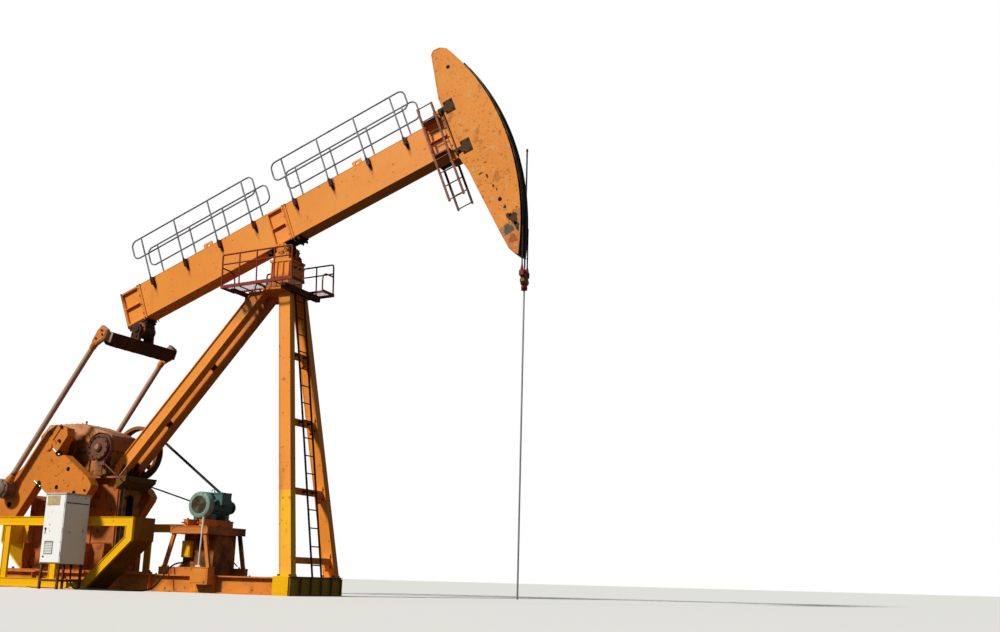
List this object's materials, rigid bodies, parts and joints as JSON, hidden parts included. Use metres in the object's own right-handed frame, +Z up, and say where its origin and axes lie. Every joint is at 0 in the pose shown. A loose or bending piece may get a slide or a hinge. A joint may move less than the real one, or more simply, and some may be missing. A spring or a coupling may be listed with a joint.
{
  "type": "beam pumping unit",
  "caption": "Crank-driven walking-beam oil well pumping unit with horsehead, samson post, skid, gear reducer, motor and guards",
  "frame": {"origin": "on the floor plane, on the underside of the skid's cross-beam below the saddle axis", "axes": "+X towards the horsehead, +Y across to the belt side, +Z up"},
  "size_m": [13.081, 3.51, 10.7866],
  "materials": {
    "orange_paint": "weathered orange enamel with rust streaks",
    "maroon_paint": "faded dark red primer",
    "dark_steel": "oily, dirty cast steel",
    "yellow_paint": "safety yellow enamel",
    "motor_green": "grey green machine enamel",
    "cabinet_white": "white powder coat with rust spots",
    "cable_sheath": "black rubber sheath",
    "belt_rubber": "worn black belt",
    "rail_grey": "weathered galvanised pipe with rust",
    "wire_rope": "greased steel wire rope",
    "rod_steel": "polished round bar"
  },
  "bodies": {
    "frame": {"skid_frame": "orange_paint", "front_sill": "orange_paint", "front_leg_near": "orange_paint", "front_leg_far": "orange_paint", "leg_ties": "orange_paint", "post_ladder": "maroon_paint", "brace_leg_near": "orange_paint", "brace_leg_far": "orange_paint", "brace_ties": "maroon_paint", "post_head": "orange_paint", "saddle_bearings": "orange_paint", "platform_near": "maroon_paint", "platform_far": "maroon_paint", "platform_supports": "maroon_paint", "reducer_stand": "orange_paint", "gearbox": "orange_paint", "drive_belts": "belt_rubber", "motor": "motor_green", "motor_stand": "orange_paint", "guard_near": "yellow_paint", "guard_far": "yellow_paint", "control_cabinet": "cabinet_white", "motor_cable": "cable_sheath"},
    "cranks": {"crankshaft": "orange_paint", "crank_near": "orange_paint", "crank_far": "orange_paint", "weight_near": "orange_paint", "weight_far": "orange_paint"},
    "beam": {"walking_beam": "orange_paint", "saddle_shaft": "dark_steel", "handrails_near": "rail_grey", "handrails_far": "rail_grey", "head_ladders": "maroon_paint", "horsehead": "orange_paint", "arc_ropes": "wire_rope", "tail_bearing": "dark_steel"},
    "yoke": {"equalizer": "dark_steel", "pitman_near": "orange_paint", "pitman_far": "orange_paint"},
    "carrier": {"carrier_bar": "maroon_paint", "hanging_rope": "wire_rope", "polished_rod": "rod_steel"},
    "input_shaft": {"drive_sheave": "dark_steel", "brake_drum": "dark_steel"},
    "motor_shaft": {"motor_pulley": "dark_steel"}
  },
  "joints": [
    {"name": "crank_turn", "type": "hinge", "parent": "frame", "child": "cranks", "pos_m": [-4.95, 0, 2.85], "axis": [0, 1, 0], "range_deg": [0, 146.45]},
    {"name": "beam_rock", "type": "hinge", "parent": "frame", "child": "beam", "pos_m": [0, 0, 6.88], "axis": [0, 1, 0], "range_deg": [0, 41.7]},
    {"name": "yoke_swing", "type": "hinge", "parent": "beam", "child": "yoke", "pos_m": [-3.56237, 0, 5.41931], "axis": [0, -1, 0], "range_deg": [0, 61.98]},
    {"name": "carrier_lift", "type": "slide", "parent": "frame", "child": "carrier", "axis": [0, 0, -1], "range_m": [0, 3.8431], "deforming": ["hanging_rope", "polished_rod"]},
    {"name": "sheave_turn", "type": "hinge", "parent": "frame", "child": "input_shaft", "pos_m": [-3.895, 0, 2.85], "axis": [0, 1, 0], "continuous": true},
    {"name": "motor_turn", "type": "hinge", "parent": "frame", "child": "motor_shaft", "pos_m": [-1.44, 0, 1.69], "axis": [0, 1, 0], "continuous": true}
  ],
  "couplings": [
    {"joint": "beam_rock", "follows": "crank_turn", "ratio": 0.28471},
    {"joint": "yoke_swing", "follows": "crank_turn", "ratio": 0.42325},
    {"joint": "carrier_lift", "follows": "crank_turn", "m_per_rad": 1.5035},
    {"joint": "motor_turn", "follows": "sheave_turn", "ratio": 4.8}
  ]
}
